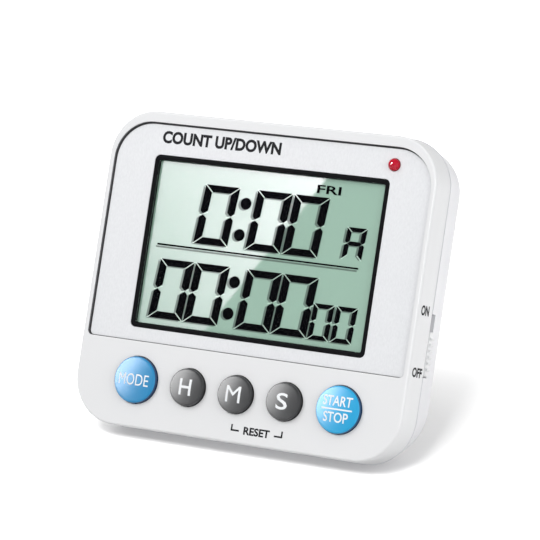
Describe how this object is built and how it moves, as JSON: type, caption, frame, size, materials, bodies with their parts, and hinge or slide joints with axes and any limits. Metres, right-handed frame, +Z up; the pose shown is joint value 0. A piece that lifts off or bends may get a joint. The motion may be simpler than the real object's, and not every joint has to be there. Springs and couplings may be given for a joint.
{
  "type": "lab timer",
  "caption": "Leaning tabletop timer clock with a large liquid crystal display, round push buttons, a side slide switch, a battery door, rear magnets and a fold-out leg.",
  "frame": {"origin": "middle of the bounding box in plan, on the surface the timer stands on", "axes": "+X to the timer's right as its front is read, +Y to the back, +Z up; the case leans back 18.7 degrees about X"},
  "size_m": [0.0922, 0.0462, 0.0799],
  "materials": {
    "case_white": "satin moulded ABS",
    "face_silver": "fine pearl grain",
    "bezel_black": "satin",
    "window_clear": "clear polished",
    "lcd_green": "reflective liquid crystal panel",
    "holder_white": "moulded",
    "zebra_black": "matt",
    "key_silicone": "translucent silicone",
    "pill_carbon": "carbon loaded",
    "button_blue": "satin",
    "button_grey": "satin",
    "board_green": "solder mask",
    "epoxy_black": "cast epoxy",
    "component_metal": "tinned",
    "capacitor_sleeve": "shrink sleeve",
    "led_red": "clear tinted epoxy",
    "lever_black": "moulded",
    "screw_steel": "zinc plated",
    "contact_nickel": "nickel plated spring steel",
    "cell_sleeve": "printed sleeve over a metal can",
    "magnet_nickel": "nickel plated",
    "buzzer_brass": "bare brass disc",
    "wire_red": "PVC insulation",
    "wire_black": "PVC insulation"
  },
  "bodies": {
    "case": {"front_shell": "case_white", "rear_shell": "case_white", "face_plate": "face_silver", "window_bezel": "bezel_black", "display_window": "window_clear", "lcd_glass": "lcd_green", "lcd_holder": "holder_white", "zebra_strip": "zebra_black", "key_mat": "key_silicone", "circuit_board": "board_green", "chip_blob": "epoxy_black", "crystal_can": "component_metal", "capacitor": "capacitor_sleeve", "signal_led": "led_red", "board_screw_left": "screw_steel", "board_screw_right": "screw_steel", "switch_body": "component_metal", "case_screw_top_left": "screw_steel", "case_screw_top_right": "screw_steel", "case_screw_bottom_left": "screw_steel", "case_screw_bottom_right": "screw_steel", "flat_contact_upper": "contact_nickel", "flat_contact_lower": "contact_nickel", "spring_contact_upper": "contact_nickel", "spring_contact_lower": "contact_nickel", "battery_upper": "cell_sleeve", "battery_lower": "cell_sleeve", "magnet_left": "magnet_nickel", "magnet_right": "magnet_nickel", "buzzer_disc": "buzzer_brass", "buzzer_wire_red": "wire_red", "buzzer_wire_black": "wire_black", "hinge_pin": "screw_steel"},
    "mode_key": {"mode_button": "button_blue", "mode_contact_pill": "pill_carbon"},
    "hour_key": {"hour_button": "button_grey", "hour_contact_pill": "pill_carbon"},
    "minute_key": {"minute_button": "button_grey", "minute_contact_pill": "pill_carbon"},
    "second_key": {"second_button": "button_grey", "second_contact_pill": "pill_carbon"},
    "start_stop_key": {"start_stop_button": "button_blue", "start_stop_contact_pill": "pill_carbon"},
    "power_slider": {"switch_knob": "case_white", "switch_lever": "lever_black"},
    "stand": {"stand_leg": "case_white"},
    "door": {"battery_door": "case_white"}
  },
  "joints": [
    {"name": "mode_press", "type": "slide", "parent": "case", "child": "mode_key", "axis": [0, 0.9472, -0.3206], "range_m": [0, 0.0008], "stiffness_N_per_m": 1200, "springref_m": -0.0002},
    {"name": "hour_press", "type": "slide", "parent": "case", "child": "hour_key", "axis": [0, 0.9472, -0.3206], "range_m": [0, 0.0008], "stiffness_N_per_m": 1200, "springref_m": -0.0002},
    {"name": "minute_press", "type": "slide", "parent": "case", "child": "minute_key", "axis": [0, 0.9472, -0.3206], "range_m": [0, 0.0008], "stiffness_N_per_m": 1200, "springref_m": -0.0002},
    {"name": "second_press", "type": "slide", "parent": "case", "child": "second_key", "axis": [0, 0.9472, -0.3206], "range_m": [0, 0.0008], "stiffness_N_per_m": 1200, "springref_m": -0.0002},
    {"name": "start_stop_press", "type": "slide", "parent": "case", "child": "start_stop_key", "axis": [0, 0.9472, -0.3206], "range_m": [0, 0.0008], "stiffness_N_per_m": 1200, "springref_m": -0.0002},
    {"name": "power_slide", "type": "slide", "parent": "case", "child": "power_slider", "axis": [0, 0.3206, 0.9472], "range_m": [0, 0.004]},
    {"name": "stand_hinge", "type": "hinge", "parent": "case", "child": "stand", "pos_m": [-0.0003, 0.01068, 0.04249], "axis": [1, 0, 0], "range_deg": [-32.7, 0]},
    {"name": "door_lift_off", "type": "slide", "parent": "case", "child": "door", "axis": [0, 0.9472, -0.3206], "range_m": [0, 0.03]}
  ]
}
